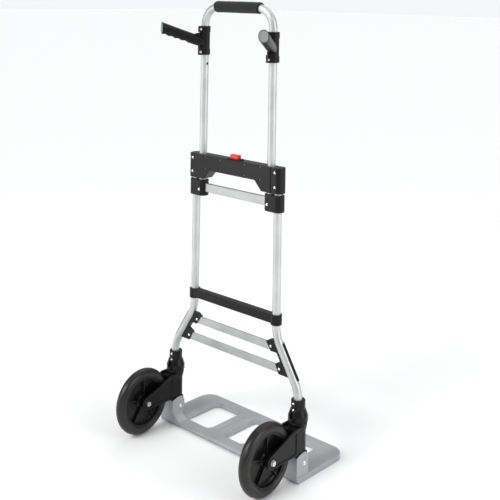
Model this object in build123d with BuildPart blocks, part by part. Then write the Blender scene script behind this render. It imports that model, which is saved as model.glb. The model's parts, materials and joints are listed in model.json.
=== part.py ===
from build123d import *
import os
from math import cos, radians, sin, tan

# Folding hand truck with a telescoping handle and swing-in wheels. Millimetres.
# Origin on the floor, on the centre plane, under the side tubes' axes.
# +X is the operator's right, +Y runs forward over the toe plate, +Z is up.
# Paired pieces are built on the right and mirrored to the left.

os.makedirs("parts", exist_ok=True)

# ---------------------------------------------------------------- driving dimensions
FIT = 0.05  # radial gap of a fixed piece in its seat
RUN = 0.10  # radial gap of a running fit

TUBE_R = 11.1  # 7/8 in tube
TUBE_WALL = 1.5
BORE_R = TUBE_R - TUBE_WALL

SIDE_X = 154.1  # side tubes above the bend
HANDLE_X = 129.5  # telescoping tubes, just inboard of them
CORNER_X = 231.5  # side tubes between the wheels and the floor
SLANT = radians(32.5)  # lean of the side tubes between the two bends
UPPER_BEND_R = 100.0
LOWER_BEND_R = 70.0
BEND_TOP_Z = 368.9
SIDE_TOP_Z = 779.0
SIDE_FOOT_Z = 58.2

HANDLE_TOP_Z = 1202.0
HANDLE_FOOT_Z = 668.3
HANDLE_BEND_R = 56.0
FOAM_ARC = 10.0  # degrees that the foam reaches round each bend
FOAM_R = 16.5

HOUSING_HALF = 172.0
HOUSING_TOP = 782.0
HOUSING_END_BOTTOM = 714.0
HOUSING_MID_BOTTOM = 740.0
HOUSING_FRONT = 17.0
HOUSING_REAR = -17.0
HOUSING_COVER_REAR = -19.5
HOUSING_COVER_HALF = 142.0

LATCH_Z = 772.5
LATCH_R = 3.4
LATCH_HOLE_R = 3.9
STOWED_HOLE_Z = 1038.0
BUTTON_TRAVEL = 4.5

SLIDER_BOTTOM = 664.0
SLIDER_TOP = 709.0
BAR_BOTTOM = 675.0
BAR_TOP = 699.0
BAR_DEPTH = 10.0

MID_BOTTOM = 369.0
MID_TOP = 396.0

STRIP_HEIGHT = 21.0
STRIP_DEPTH = 6.0
STRIP_WALL = 1.2
UPPER_STRIP_Z = 309.0
LOWER_STRIP_Z = 257.0
UPPER_STRIP_HALF = 148.0
LOWER_STRIP_HALF = 180.0

WHEEL_R = 89.0  # 7 in wheel
HUB_Y = -126.2
HUB_Z = WHEEL_R
TYRE_HALF = 15.0
TYRE_SEAT_R = 66.0
HUB_HALF = 19.7
AXLE_R = 4.0

SLEEVE_BOTTOM = 71.5
SLEEVE_TOP = 144.0
SLEEVE_R = 21.5
SWIVEL_BUSH_R = 14.0
FORK_INNER = 20.0
FORK_OUTER = 25.5

PIVOT_Z = 43.0
PIVOT_R = 4.0
EAR_INNER = 22.5  # inner faces of the clevis ears, from the corner axis
SHEET = 2.5
EAR_OUT = CORNER_X + EAR_INNER + SHEET  # outer faces of the outer ears
PLATE_HALF = EAR_OUT + 2.5
PLATE_REAR = -31.0
PLATE_FRONT = 172.0
DECK_TOP = 14.0

GRIP_ANGLE = radians(30)  # side grips point back and this far outward
GRIP_RISE = radians(18.6)
GRIP_REACH = 127.0  # level distance from the tube to the grip's end face
GRIP_ROOT_Z = 1090.5
LEFT_GRIP_LIFT = 6.0  # the left grip is clamped this much higher
CLAMP_BOTTOM = 1057.2
CLAMP_TOP = 1139.4
INNER_CLAMP_R = 15.0
OUTER_CLAMP_R = 17.5


# ---------------------------------------------------------------- helpers
def save(piece, name):
    """Labels a finished piece and writes it as the node of that name."""
    piece.part.label = name
    export_step(piece.part, f"parts/{name}.step")


def mirrored(piece):
    """The left-hand twin of a right-hand piece."""
    with BuildPart() as twin:
        mirror(piece.part, about=Plane.YZ)
    return twin


def raised_twin(piece):
    """The left-hand twin of a right grip piece, clamped a little higher."""
    with BuildPart() as twin:
        add(mirrored(piece).part.moved(Location((0, 0, LEFT_GRIP_LIFT))))
    return twin


def front_view(y):
    """A sketch plane facing the operator at height Y = y; extruding it runs towards -Y."""
    return Plane.XZ.offset(-y)


def slant_x(z):
    """X of the right side tube's axis at height z, between its two bends."""
    return SIDE_X + (UPPER_CORNER_Z - z) * tan(SLANT)


def dome_rivet(head_r, head_h, shank_r, length):
    """A rivet whose head stands on z = 0 and whose shank runs down to -length."""
    with BuildPart() as rivet:
        with BuildSketch(Plane.XZ):
            with BuildLine():
                Line((0, -length), (0, head_h))
                ThreePointArc((0, head_h), (head_r * 0.72, head_h * 0.66), (head_r, 0))
                Polyline((head_r, 0), (shank_r, 0), (shank_r, -length), (0, -length))
            make_face()
        revolve(axis=Axis.Z)
    return rivet.part


def hex_prism(across_flats, height, hole_r=0.0):
    """A hexagonal head or nut standing on z = 0, chamfered round its outer end."""
    with BuildPart() as prism:
        Cylinder(across_flats * 0.577, height, align=(Align.CENTER, Align.CENTER, Align.MIN))
        chamfer(prism.edges().sort_by(Axis.Z)[-1], across_flats * 0.07)
        with BuildSketch():
            RegularPolygon(across_flats / 2, 6, major_radius=False)
        extrude(amount=height, mode=Mode.INTERSECT)
        if hole_r > 0:
            Cylinder(hole_r, 3 * height, mode=Mode.SUBTRACT)
    return prism.part


def facing_back(x, y, z):
    """A place whose +Z points at the operator (-Y)."""
    return Location((x, y, z), (90, 0, 0))


def facing_right(x, y, z):
    """A place whose +Z points to +X."""
    return Location((x, y, z), (0, 90, 0))


def facing_left(x, y, z):
    """A place whose +Z points to -X."""
    return Location((x, y, z), (0, -90, 0))


# ---------------------------------------------------------------- side tubes
UPPER_CORNER_Z = BEND_TOP_Z - UPPER_BEND_R * tan(SLANT / 2)
LOWER_CORNER_Z = UPPER_CORNER_Z - (CORNER_X - SIDE_X) / tan(SLANT)
HOUSING_RIVET_X = 155.4
HOUSING_RIVET_Z = (769.5, 730.8)
COLLAR_RIVET_X = 230.2
COLLAR_RIVET_Z = (190.0, 173.5)
RIVET_SHANK_R = 2.4

with BuildLine(Plane.XZ) as side_axis:
    FilletPolyline(
        (SIDE_X, SIDE_TOP_Z),
        (SIDE_X, UPPER_CORNER_Z),
        (CORNER_X, LOWER_CORNER_Z),
        (CORNER_X, SIDE_FOOT_Z),
        radius=(UPPER_BEND_R, LOWER_BEND_R),
    )
side_tube_top = Plane(origin=(SIDE_X, 0, SIDE_TOP_Z), z_dir=(0, 0, -1))

with BuildPart() as right_side_tube:
    with BuildSketch(side_tube_top):
        Circle(TUBE_R)
        Circle(BORE_R, mode=Mode.SUBTRACT)
    sweep(path=side_axis.wires()[0])
    with Locations(*[(HOUSING_RIVET_X, 0, z) for z in HOUSING_RIVET_Z]):
        Cylinder(RIVET_SHANK_R + FIT, 3 * TUBE_R, rotation=(90, 0, 0), mode=Mode.SUBTRACT)
    with Locations(*[(COLLAR_RIVET_X, 0, z) for z in COLLAR_RIVET_Z]):
        Cylinder(RIVET_SHANK_R + FIT, 3 * TUBE_R, rotation=(90, 0, 0), mode=Mode.SUBTRACT)
save(right_side_tube, "right_side_tube")
save(mirrored(right_side_tube), "left_side_tube")


# ---------------------------------------------------------------- latch housing
GUIDE_BUSH_R = 13.4
GUIDE_BUSH_BOTTOM = 722.0
GUIDE_BUSH_TOP = 762.0
BOLT_BORE_R = LATCH_R + RUN
CAVITY_HALF = 98.0
CAVITY_FLOOR = 743.0
CAVITY_ROOF = 779.0
CAVITY_REAR = -16.5
CAVITY_FRONT = 14.0
BOSS_TOP = 785.0
BUTTON_HALF = 15.5
BUTTON_REAR = -10.2
BUTTON_FRONT = 4.2
BUTTON_GAP = 0.3
OUTER_SCREWS = [(side * 104.0, z) for side in (-1, 1) for z in (777.4, 743.0)]
INNER_SCREWS = [(side * 46.5, z) for side in (-1, 1) for z in (775.2, 747.0)]
HOUSING_SCREWS = OUTER_SCREWS + INNER_SCREWS
SCREW_HEAD_R = 3.2
SCREW_SINK_R = 4.3
SCREW_SHANK_R = 1.3
SCREW_SEAT_Y = -18.0
SCREW_END_Y = 10.0
SCREW_POST_R = 3.6


def housing_outline(half):
    """The housing seen from the operator: a bar with deeper ends."""
    top = HOUSING_TOP
    foot = HOUSING_END_BOTTOM
    waist = HOUSING_MID_BOTTOM
    right = [(86, waist), (110, foot), (half, foot), (half, top)]
    left = [(-x, z) for x, z in reversed(right)]
    with BuildSketch() as outline:
        with BuildLine():
            Polyline(*right, *left, close=True)
        make_face()
        fillet(outline.vertices().filter_by(lambda v: abs(v.X) < 120), 5)
    return outline.sketch


with BuildPart() as housing:
    with BuildSketch(front_view(HOUSING_FRONT)):
        add(housing_outline(HOUSING_HALF))
    extrude(amount=HOUSING_FRONT - HOUSING_REAR)
    end_edges = housing.edges().filter_by(Axis.Z).group_by(Axis.X)
    fillet(end_edges[0] + end_edges[-1], 13)
    fillet(housing.faces().sort_by(Axis.Z)[-1].edges(), 1.5)
    with BuildSketch(front_view(HOUSING_REAR)):
        add(housing_outline(HOUSING_COVER_HALF))
    extrude(amount=HOUSING_REAR - HOUSING_COVER_REAR, taper=20)
    # raised boss round the button
    with BuildSketch(Plane.XY.offset(HOUSING_TOP - 1)):
        with Locations((0, (BUTTON_REAR + BUTTON_FRONT) / 2)):
            RectangleRounded(52, 24, 6)
    extrude(amount=BOSS_TOP - HOUSING_TOP + 1, taper=25)
    # cavity for the latch
    with BuildSketch(front_view(CAVITY_FRONT)):
        with Locations((0, (CAVITY_FLOOR + CAVITY_ROOF) / 2)):
            Rectangle(2 * CAVITY_HALF, CAVITY_ROOF - CAVITY_FLOOR)
    extrude(amount=CAVITY_FRONT - CAVITY_REAR, mode=Mode.SUBTRACT)
    # screw posts between the cavity's two walls
    with BuildSketch(front_view(CAVITY_FRONT + 1)):
        with Locations(*INNER_SCREWS):
            Circle(SCREW_POST_R)
    extrude(amount=CAVITY_FRONT - CAVITY_REAR + 2)
    # button opening
    with BuildSketch(Plane.XY.offset(CAVITY_ROOF - 1)):
        with Locations((0, (BUTTON_REAR + BUTTON_FRONT) / 2)):
            Rectangle(
                2 * (BUTTON_HALF + BUTTON_GAP), BUTTON_FRONT - BUTTON_REAR + 2 * BUTTON_GAP
            )
    extrude(amount=BOSS_TOP - CAVITY_ROOF + 2, mode=Mode.SUBTRACT)
    # seats of the side tubes, open below
    with BuildSketch(Plane.XY.offset(HOUSING_END_BOTTOM - 1)):
        with Locations((-SIDE_X, 0), (SIDE_X, 0)):
            Circle(TUBE_R + FIT)
    extrude(amount=SIDE_TOP_Z + FIT - HOUSING_END_BOTTOM + 1, mode=Mode.SUBTRACT)
    # passages of the telescoping tubes, with a seat for each guide bush
    with BuildSketch(Plane.XY.offset(HOUSING_END_BOTTOM - 1)):
        with Locations((-HANDLE_X, 0), (HANDLE_X, 0)):
            Circle(TUBE_R + 0.4)
    extrude(amount=HOUSING_TOP - HOUSING_END_BOTTOM + 2, mode=Mode.SUBTRACT)
    with BuildSketch(Plane.XY.offset(GUIDE_BUSH_BOTTOM - FIT)):
        with Locations((-HANDLE_X, 0), (HANDLE_X, 0)):
            Circle(GUIDE_BUSH_R + FIT)
    extrude(amount=GUIDE_BUSH_TOP - GUIDE_BUSH_BOTTOM + 2 * FIT, mode=Mode.SUBTRACT)
    # channel of the latch bolts
    with Locations((0, 0, LATCH_Z)):
        Cylinder(BOLT_BORE_R, 2 * HANDLE_X, rotation=(0, 90, 0), mode=Mode.SUBTRACT)
    # rivet holes through the ends
    with Locations(*[(s * HOUSING_RIVET_X, 0, z) for s in (-1, 1) for z in HOUSING_RIVET_Z]):
        Cylinder(RIVET_SHANK_R + FIT, 60, rotation=(90, 0, 0), mode=Mode.SUBTRACT)
    # screw holes with sunk heads
    with BuildSketch(front_view(SCREW_END_Y)):
        with Locations(*HOUSING_SCREWS):
            Circle(SCREW_SHANK_R + FIT)
    extrude(amount=SCREW_END_Y - SCREW_SEAT_Y, mode=Mode.SUBTRACT)
    with BuildSketch(front_view(SCREW_SEAT_Y)):
        with Locations(*HOUSING_SCREWS):
            Circle(SCREW_SINK_R)
    extrude(amount=3, mode=Mode.SUBTRACT)

with BuildPart() as latch_housing_rear:
    add(housing.part)
    split(bisect_by=Plane.XZ.offset(FIT / 2), keep=Keep.TOP)
save(latch_housing_rear, "latch_housing_rear")

with BuildPart() as latch_housing_front:
    add(housing.part)
    split(bisect_by=Plane.XZ.offset(-FIT / 2), keep=Keep.BOTTOM)
save(latch_housing_front, "latch_housing_front")

with BuildPart() as housing_rivets:
    with Locations(
        *[facing_back(s * HOUSING_RIVET_X, HOUSING_REAR, z) for s in (-1, 1) for z in HOUSING_RIVET_Z]
    ):
        add(dome_rivet(4.0, 1.8, RIVET_SHANK_R, HOUSING_FRONT - HOUSING_REAR + 0.5))
save(housing_rivets, "housing_rivets")

with BuildPart() as housing_screws:
    with Locations(*[facing_back(x, SCREW_SEAT_Y - 0.02, z) for x, z in HOUSING_SCREWS]):
        add(dome_rivet(SCREW_HEAD_R, 1.2, SCREW_SHANK_R, SCREW_END_Y - SCREW_SEAT_Y - 0.5))
save(housing_screws, "housing_screws")

with BuildPart() as handle_guide_bushes:
    with BuildSketch(Plane.XY.offset(GUIDE_BUSH_BOTTOM)):
        with Locations((-HANDLE_X, 0), (HANDLE_X, 0)):
            Circle(GUIDE_BUSH_R)
            Circle(TUBE_R + RUN, mode=Mode.SUBTRACT)
    extrude(amount=GUIDE_BUSH_TOP - GUIDE_BUSH_BOTTOM)
save(handle_guide_bushes, "handle_guide_bushes")


# ---------------------------------------------------------------- latch inside the housing
CAM_REAR = -8.5
CAM_FRONT = -3.6
CAM_BOTTOM = 749.5
FLANGE_BOTTOM = 774.6
FLANGE_TOP = CAVITY_ROOF - 0.1
BUTTON_TOP = 795.0
PIN_X = 10.0
PIN_Z = 754.0
PIN_R = 1.9
ARM_HALF = 3.0
SPRING_Y = 9.0
SPRING_R = 2.6
SPRING_WIRE_R = 0.45
slot_length = BUTTON_TRAVEL * 2**0.5 + 2 * PIN_R + 0.6

with BuildPart() as release_button:
    with BuildSketch(Plane.XY.offset(FLANGE_TOP - 1)):
        with Locations((0, (BUTTON_REAR + BUTTON_FRONT) / 2)):
            Rectangle(2 * BUTTON_HALF, BUTTON_FRONT - BUTTON_REAR)
    extrude(amount=BUTTON_TOP - FLANGE_TOP + 1)
    fillet(release_button.edges().filter_by(Axis.Z), 2.5)
    fillet(release_button.faces().sort_by(Axis.Z)[-1].edges(), 1.5)
    # flange that holds the button in, and its foot on the return spring
    with BuildSketch(Plane.XY.offset(FLANGE_BOTTOM)):
        with Locations((0, 0.5)):
            Rectangle(34, 25)
    extrude(amount=FLANGE_TOP - FLANGE_BOTTOM)
    # cam plate with two sloping slots that draw the bolts in
    with BuildSketch(front_view(CAM_FRONT)):
        with Locations((0, (CAM_BOTTOM + FLANGE_BOTTOM) / 2)):
            Rectangle(32, FLANGE_BOTTOM - CAM_BOTTOM)
    extrude(amount=CAM_FRONT - CAM_REAR)
    with BuildSketch(front_view(CAM_FRONT)):
        for side in (-1, 1):
            with Locations((side * (PIN_X - BUTTON_TRAVEL / 2), PIN_Z + BUTTON_TRAVEL / 2)):
                SlotOverall(slot_length, 2 * PIN_R + 0.3, rotation=-45 * side)
    extrude(amount=CAM_FRONT - CAM_REAR, mode=Mode.SUBTRACT)
save(release_button, "release_button")

with BuildPart() as button_spring:
    with BuildLine() as coil:
        Helix(4.4, FLANGE_BOTTOM - CAVITY_FLOOR - 2, SPRING_R, center=(0, SPRING_Y, CAVITY_FLOOR + 1))
    with BuildSketch(Plane(origin=coil.wires()[0] @ 0, z_dir=coil.wires()[0] % 0)):
        Circle(SPRING_WIRE_R)
    sweep(path=coil.wires()[0], is_frenet=True)
save(button_spring, "button_spring")

with BuildPart() as right_latch_bolt:
    # flat arm along the cavity, and its riser to the nose
    with BuildSketch(front_view(ARM_HALF)):
        with BuildLine():
            Polyline(
                (5.2, 751.5),
                (24, 751.5),
                (32, 758),
                (97, 758),
                (97, LATCH_Z + LATCH_R),
                (88, LATCH_Z + LATCH_R),
                (84, 767),
                (24, 767),
                (16, 756.5),
                (5.2, 756.5),
                close=True,
            )
        make_face()
    extrude(amount=2 * ARM_HALF)
    with Locations(facing_right(96, 0, LATCH_Z)):
        Cylinder(
            LATCH_R,
            HANDLE_X - TUBE_R - 0.3 - 96,
            align=(Align.CENTER, Align.CENTER, Align.MIN),
        )
    chamfer(right_latch_bolt.faces().sort_by(Axis.X)[-1].edges(), 1)
    # cam pin
    with Locations(facing_back(PIN_X, -ARM_HALF + 0.5, PIN_Z)):
        Cylinder(PIN_R, 5.5, align=(Align.CENTER, Align.CENTER, Align.MIN))
save(right_latch_bolt, "right_latch_bolt")
save(mirrored(right_latch_bolt), "left_latch_bolt")


# ---------------------------------------------------------------- telescoping handle
SLIDER_RIVET_X = 128.8
SLIDER_RIVET_Z = 682.0
SLIDER_REAR = -16.4
SLIDER_IN = 113.2
SLIDER_OUT = 171.6
SOCKET_DEPTH = 117.0

with BuildPart() as handle_tube:
    with BuildLine(Plane.XZ) as handle_axis:
        FilletPolyline(
            (-HANDLE_X, HANDLE_FOOT_Z),
            (-HANDLE_X, HANDLE_TOP_Z),
            (HANDLE_X, HANDLE_TOP_Z),
            (HANDLE_X, HANDLE_FOOT_Z),
            radius=HANDLE_BEND_R,
        )
    with BuildSketch(Plane.XY.offset(HANDLE_FOOT_Z)):
        with Locations((-HANDLE_X, 0)):
            Circle(TUBE_R)
            Circle(BORE_R, mode=Mode.SUBTRACT)
    sweep(path=handle_axis.wires()[0])
    # latch holes in the tubes' inner walls, and the slider rivets' holes
    for hole_z in (LATCH_Z, STOWED_HOLE_Z):
        with Locations((0, 0, hole_z)):
            Cylinder(LATCH_HOLE_R, 2 * HANDLE_X, rotation=(0, 90, 0), mode=Mode.SUBTRACT)
    with Locations((-SLIDER_RIVET_X, 0, SLIDER_RIVET_Z), (SLIDER_RIVET_X, 0, SLIDER_RIVET_Z)):
        Cylinder(RIVET_SHANK_R + FIT, 3 * TUBE_R, rotation=(90, 0, 0), mode=Mode.SUBTRACT)
save(handle_tube, "handle_tube")

with BuildPart() as foam_grip:
    with BuildLine(Plane.XZ) as foam_axis:
        bend_x = HANDLE_X - HANDLE_BEND_R
        bend_z = HANDLE_TOP_Z - HANDLE_BEND_R
        CenterArc((-bend_x, bend_z), HANDLE_BEND_R, 90 + FOAM_ARC, -FOAM_ARC)
        Line((-bend_x, HANDLE_TOP_Z), (bend_x, HANDLE_TOP_Z))
        CenterArc((bend_x, bend_z), HANDLE_BEND_R, 90, -FOAM_ARC)
    foam_wire = foam_axis.wires()[0]
    with BuildSketch(Plane(origin=foam_wire @ 0, z_dir=foam_wire % 0)):
        Circle(FOAM_R)
        Circle(TUBE_R + 0.2, mode=Mode.SUBTRACT)
    sweep(path=foam_wire)
save(foam_grip, "foam_grip")

with BuildPart() as right_slider:
    with BuildSketch(Plane.XY.offset(SLIDER_BOTTOM)):
        with Locations(((SLIDER_IN + SLIDER_OUT) / 2, 0)):
            RectangleRounded(SLIDER_OUT - SLIDER_IN, -2 * SLIDER_REAR, 15)
    extrude(amount=SLIDER_TOP - SLIDER_BOTTOM)
    chamfer(right_slider.faces().sort_by(Axis.Z)[0].edges(), 1.2)
    chamfer(right_slider.faces().sort_by(Axis.Z)[-1].edges(), 1.2)
    # socket of the crossbar
    with BuildSketch(Plane.YZ.offset(SLIDER_IN - 1)):
        with Locations((0, (BAR_BOTTOM + BAR_TOP) / 2)):
            Rectangle(BAR_DEPTH + 2 * FIT, BAR_TOP - BAR_BOTTOM + 2 * FIT)
    extrude(amount=SOCKET_DEPTH - SLIDER_IN + 1, mode=Mode.SUBTRACT)
    # the side tube runs through; the telescoping tube ends inside
    with BuildSketch(Plane.XY.offset(SLIDER_BOTTOM - 1)):
        with Locations((SIDE_X, 0)):
            Circle(TUBE_R + RUN)
    extrude(amount=SLIDER_TOP - SLIDER_BOTTOM + 2, mode=Mode.SUBTRACT)
    with BuildSketch(Plane.XY.offset(HANDLE_FOOT_Z - FIT)):
        with Locations((HANDLE_X, 0)):
            Circle(TUBE_R + FIT)
    extrude(amount=SLIDER_TOP - HANDLE_FOOT_Z + 1, mode=Mode.SUBTRACT)
    with Locations((SLIDER_RIVET_X, 0, SLIDER_RIVET_Z)):
        Cylinder(RIVET_SHANK_R + FIT, 60, rotation=(90, 0, 0), mode=Mode.SUBTRACT)
save(right_slider, "right_slider")
save(mirrored(right_slider), "left_slider")

with BuildPart() as slider_crossbar:
    with BuildSketch(Plane.YZ.offset(-SOCKET_DEPTH + 0.1)):
        with Locations((0, (BAR_BOTTOM + BAR_TOP) / 2)):
            RectangleRounded(BAR_DEPTH, BAR_TOP - BAR_BOTTOM, 2)
            RectangleRounded(BAR_DEPTH - 2.4, BAR_TOP - BAR_BOTTOM - 2.4, 1, mode=Mode.SUBTRACT)
    extrude(amount=2 * (SOCKET_DEPTH - 0.1))
save(slider_crossbar, "slider_crossbar")

with BuildPart() as slider_rivets:
    with Locations(*[facing_back(s * SLIDER_RIVET_X, SLIDER_REAR, SLIDER_RIVET_Z) for s in (-1, 1)]):
        add(dome_rivet(4.0, 1.8, RIVET_SHANK_R, -2 * SLIDER_REAR + 0.5))
save(slider_rivets, "slider_rivets")


# ---------------------------------------------------------------- mid crossbar
MID_REAR = -14.0
MID_FRONT = 12.0
MID_BAR_BOTTOM = 373.0
MID_BAR_TOP = 394.5
MID_CLIP_R = 15.5
MID_WALL = 3.0

with BuildPart() as mid_crossbar:
    with BuildSketch(front_view(MID_FRONT)) as mid_face:
        with Locations((0, (MID_BAR_BOTTOM + MID_BAR_TOP) / 2)):
            Rectangle(2 * SIDE_X, MID_BAR_TOP - MID_BAR_BOTTOM)
    extrude(amount=MID_FRONT - MID_REAR)
    fillet(mid_crossbar.edges().filter_by(Axis.X), 2.5)
    # the bar is a channel, open in front
    with BuildSketch(front_view(MID_FRONT)):
        with Locations((0, (MID_BAR_BOTTOM + MID_BAR_TOP) / 2)):
            Rectangle(2 * (SIDE_X - 22), MID_BAR_TOP - MID_BAR_BOTTOM - 2 * MID_WALL)
    extrude(amount=MID_FRONT - MID_REAR - MID_WALL, mode=Mode.SUBTRACT)
    with BuildSketch(Plane.XY.offset(MID_BOTTOM)):
        with Locations((-SIDE_X, 0), (SIDE_X, 0)):
            Circle(MID_CLIP_R)
    extrude(amount=MID_TOP - MID_BOTTOM)
    clip_rims = mid_crossbar.edges().filter_by(GeomType.CIRCLE).group_by(Axis.Z)
    chamfer(clip_rims[0] + clip_rims[-1], 1)
    with BuildSketch(Plane.XY.offset(MID_BOTTOM - 1)):
        with Locations((-SIDE_X, 0), (SIDE_X, 0)):
            Circle(TUBE_R + FIT)
    extrude(amount=MID_TOP - MID_BOTTOM + 2, mode=Mode.SUBTRACT)
save(mid_crossbar, "mid_crossbar")


# ---------------------------------------------------------------- gussets and cross strips
GUSSET_REAR = -5.6
GUSSET_FRONT = 4.6
GUSSET_SHELL_R = 13.7
GUSSET_TOP_Z = 324.0
GUSSET_BOTTOM_Z = 243.0
GUSSET_RIVETS = [(140.0, 309.5), (170.5, 257.5)]
STRIP_REAR = -4.0
STRIP_CENTRE_Y = STRIP_REAR + STRIP_DEPTH / 2

with BuildPart() as gusset_shell:
    # half shell round the front of the tube, following its bend
    with BuildSketch(side_tube_top):
        Circle(GUSSET_SHELL_R)
    sweep(path=side_axis.wires()[0])
    with Locations((SIDE_X + 40, 20 - 1.5, (GUSSET_TOP_Z + GUSSET_BOTTOM_Z) / 2)):
        Box(120, 40, GUSSET_TOP_Z - GUSSET_BOTTOM_Z, mode=Mode.INTERSECT)

with BuildPart() as right_gusset:
    # spine along the tube with a tab at each strip
    with BuildSketch(front_view(GUSSET_FRONT)) as gusset_face:
        with BuildLine():
            Polyline(
                (slant_x(GUSSET_TOP_Z) + 3, GUSSET_TOP_Z),
                (149, 328),
                (138, 328),
                (123.5, 320),
                (140.5, 297),
                (161, 297.5),
                (173.5, 278.5),
                (156.5, 268.5),
                (169, 244.5),
                (203, 244.5),
                (slant_x(GUSSET_BOTTOM_Z), GUSSET_BOTTOM_Z),
                close=True,
            )
        make_face()
        fillet(gusset_face.vertices().filter_by(lambda v: v.X < 172), 2)
    extrude(amount=GUSSET_FRONT - GUSSET_REAR)
    add(gusset_shell.part)
    with BuildSketch(side_tube_top):
        Circle(TUBE_R + FIT)
    sweep(path=side_axis.wires()[0], mode=Mode.SUBTRACT)
    # pockets that hold the ends of the strips
    for strip_z, strip_half in ((UPPER_STRIP_Z, UPPER_STRIP_HALF), (LOWER_STRIP_Z, LOWER_STRIP_HALF)):
        with Locations((strip_half / 2 + FIT, STRIP_CENTRE_Y, strip_z)):
            Box(strip_half, STRIP_DEPTH + 2 * FIT, STRIP_HEIGHT + 2 * FIT, mode=Mode.SUBTRACT)
    with Locations(*[(x, 0, z) for x, z in GUSSET_RIVETS]):
        Cylinder(RIVET_SHANK_R + FIT, 40, rotation=(90, 0, 0), mode=Mode.SUBTRACT)
save(right_gusset, "right_gusset")
save(mirrored(right_gusset), "left_gusset")


def cross_strip(half, z, rivet):
    """A flat rectangular tube from gusset to gusset, with a rivet hole near each end."""
    with BuildPart() as strip:
        with BuildSketch(Plane.YZ.offset(-half)):
            with Locations((STRIP_CENTRE_Y, z)):
                RectangleRounded(STRIP_DEPTH, STRIP_HEIGHT, 1.5)
                Rectangle(
                    STRIP_DEPTH - 2 * STRIP_WALL, STRIP_HEIGHT - 2 * STRIP_WALL, mode=Mode.SUBTRACT
                )
        extrude(amount=2 * half)
        with Locations((-rivet[0], 0, rivet[1]), (rivet[0], 0, rivet[1])):
            Cylinder(RIVET_SHANK_R + FIT, 40, rotation=(90, 0, 0), mode=Mode.SUBTRACT)
    return strip


save(cross_strip(UPPER_STRIP_HALF, UPPER_STRIP_Z, GUSSET_RIVETS[0]), "upper_cross_strip")
save(cross_strip(LOWER_STRIP_HALF, LOWER_STRIP_Z, GUSSET_RIVETS[1]), "lower_cross_strip")

with BuildPart() as gusset_rivets:
    with Locations(*[facing_back(s * x, GUSSET_REAR, z) for s in (-1, 1) for x, z in GUSSET_RIVETS]):
        add(dome_rivet(4.0, 1.8, RIVET_SHANK_R, GUSSET_FRONT - GUSSET_REAR + 0.5))
save(gusset_rivets, "gusset_rivets")


# ---------------------------------------------------------------- fixed collars above the wheel brackets
COLLAR_BOTTOM = SLEEVE_TOP + 1.0
COLLAR_TOP = 198.0
COLLAR_FORWARD = 1.5  # the collar's outer shape stands this far in front of the tube's axis
NECK_R = 18.5
NECK_BOTTOM = 173.0
CONE_TOP_R = 20.5
SHOULDER_R = 26.0
SHOULDER_TOP = 158.0
COLLAR_REAR = -17.0
RIB_HALF = 6.0
RIB_BOTTOM = 153.0
RIB_TOP = 196.0

with BuildPart() as right_collar:
    # broad shoulder just above the wheel bracket, then a cone and a neck
    with BuildSketch(front_view(COLLAR_FORWARD)):
        with BuildLine():
            Polyline(
                (CORNER_X, COLLAR_BOTTOM),
                (CORNER_X + SHOULDER_R - 1, COLLAR_BOTTOM),
                (CORNER_X + SHOULDER_R, COLLAR_BOTTOM + 1),
                (CORNER_X + SHOULDER_R, SHOULDER_TOP),
                (CORNER_X + CONE_TOP_R, NECK_BOTTOM),
                (CORNER_X + NECK_R, NECK_BOTTOM + 1),
                (CORNER_X + NECK_R, COLLAR_TOP - 1.8),
                (CORNER_X + NECK_R - 1.8, COLLAR_TOP),
                (CORNER_X, COLLAR_TOP),
                close=True,
            )
        make_face()
    revolve(axis=Axis((CORNER_X, COLLAR_FORWARD, 0), (0, 0, 1)))
    # flat upright seat behind for the rivets, cut into the shoulder and filled out on the neck
    with BuildSketch(Plane.XY.offset(RIB_BOTTOM)):
        with Locations((COLLAR_RIVET_X, COLLAR_REAR - SHOULDER_R / 2)):
            Rectangle(2 * RIB_HALF, SHOULDER_R)
    extrude(amount=RIB_TOP - RIB_BOTTOM, mode=Mode.SUBTRACT)
    with BuildSketch(Plane.XY.offset(RIB_BOTTOM)):
        with Locations((COLLAR_RIVET_X, COLLAR_REAR / 2)):
            Rectangle(2 * RIB_HALF, -COLLAR_REAR)
    extrude(amount=RIB_TOP - RIB_BOTTOM)
    with BuildSketch(Plane.XY.offset(COLLAR_BOTTOM - 1)):
        with Locations((CORNER_X, 0)):
            Circle(TUBE_R + FIT)
    extrude(amount=COLLAR_TOP - COLLAR_BOTTOM + 2, mode=Mode.SUBTRACT)
    with Locations(*[(COLLAR_RIVET_X, 0, z) for z in COLLAR_RIVET_Z]):
        Cylinder(RIVET_SHANK_R + FIT, 60, rotation=(90, 0, 0), mode=Mode.SUBTRACT)
save(right_collar, "right_collar")
save(mirrored(right_collar), "left_collar")

with BuildPart() as collar_rivets:
    with Locations(
        *[facing_back(s * COLLAR_RIVET_X, COLLAR_REAR, z) for s in (-1, 1) for z in COLLAR_RIVET_Z]
    ):
        add(dome_rivet(3.5, 1.8, RIVET_SHANK_R, NECK_R - 1.5 - COLLAR_REAR))
save(collar_rivets, "collar_rivets")


# ---------------------------------------------------------------- feet of the side tubes
FOOT_HALF = EAR_INNER - 0.5
FOOT_R = 13.0
FOOT_TOP = 70.5

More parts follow.
